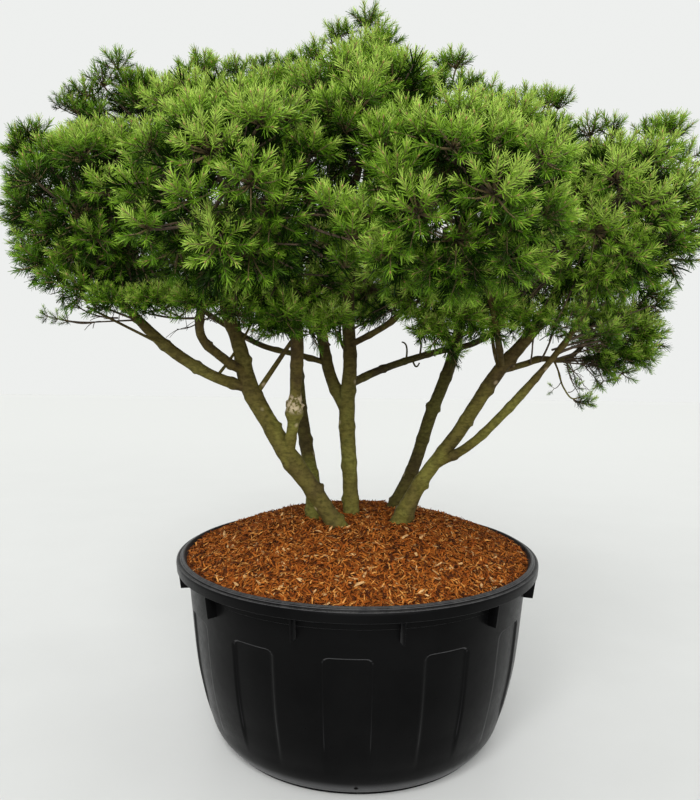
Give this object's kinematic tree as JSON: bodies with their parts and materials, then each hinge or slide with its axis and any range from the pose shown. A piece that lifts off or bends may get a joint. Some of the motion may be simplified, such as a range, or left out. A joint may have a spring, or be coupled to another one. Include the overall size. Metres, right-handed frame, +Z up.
{
  "type": "potted mugo pine",
  "caption": "Cushion-crowned mops mugo pine on bare leaning stems, planted in a round black plastic tub with a rolled rim and a mulched surface.",
  "frame": {"origin": "middle of the tub's flat underside, on the floor", "axes": "+Z up, -Y the front of the picture, +X to the right in it"},
  "size_m": [2.0783, 1.9529, 2.2358],
  "materials": {
    "tub_plastic": "satin black moulded plastic, lightly scuffed on the rim",
    "potting_soil": "moist potting soil",
    "bark_mulch": "shredded reddish bark",
    "stem_bark": "olive brown bark with pale pruning scars",
    "pine_needles": "dense green needles"
  },
  "bodies": {
    "root": {"bough_back": "stem_bark", "bough_back_left": "stem_bark", "bough_front_right": "stem_bark", "bough_left_long": "stem_bark", "bough_left_rise": "stem_bark", "bough_low_back": "stem_bark", "bough_low_front_right": "stem_bark", "bough_middle_back": "stem_bark", "bough_middle_front": "stem_bark", "bough_middle_front_left": "stem_bark", "bough_middle_front_right": "stem_bark", "bough_right_long": "stem_bark", "bough_right_low": "stem_bark", "bough_right_outer": "stem_bark", "bough_thin_left": "stem_bark", "bough_top_back": "stem_bark", "foliage_drooping_tuft": "pine_needles", "foliage_low_back": "pine_needles", "foliage_low_front_left": "pine_needles", "foliage_low_front_right": "pine_needles", "foliage_low_right": "pine_needles", "foliage_middle_back": "pine_needles", "foliage_middle_back_left": "pine_needles", "foliage_middle_front": "pine_needles", "foliage_middle_front_left": "pine_needles", "foliage_middle_front_right": "pine_needles", "foliage_middle_left": "pine_needles", "foliage_middle_right": "pine_needles", "foliage_outer_back": "pine_needles", "foliage_outer_back_left": "pine_needles", "foliage_outer_back_right": "pine_needles", "foliage_outer_front_left": "pine_needles", "foliage_outer_front_right": "pine_needles", "foliage_outer_left": "pine_needles", "foliage_outer_left_front": "pine_needles", "foliage_outer_right": "pine_needles", "foliage_outer_right_front": "pine_needles", "foliage_top_back": "pine_needles", "foliage_top_left": "pine_needles", "foliage_top_peak": "pine_needles", "limb_middle_left": "stem_bark", "limb_upright": "stem_bark", "mulch": "bark_mulch", "soil": "potting_soil", "stem_back_left": "stem_bark", "stem_front_left": "stem_bark", "stem_middle": "stem_bark", "stem_right_back": "stem_bark", "stem_right_front": "stem_bark", "tub": "tub_plastic", "twig_drooping": "stem_bark"}
  },
  "joints": []
}
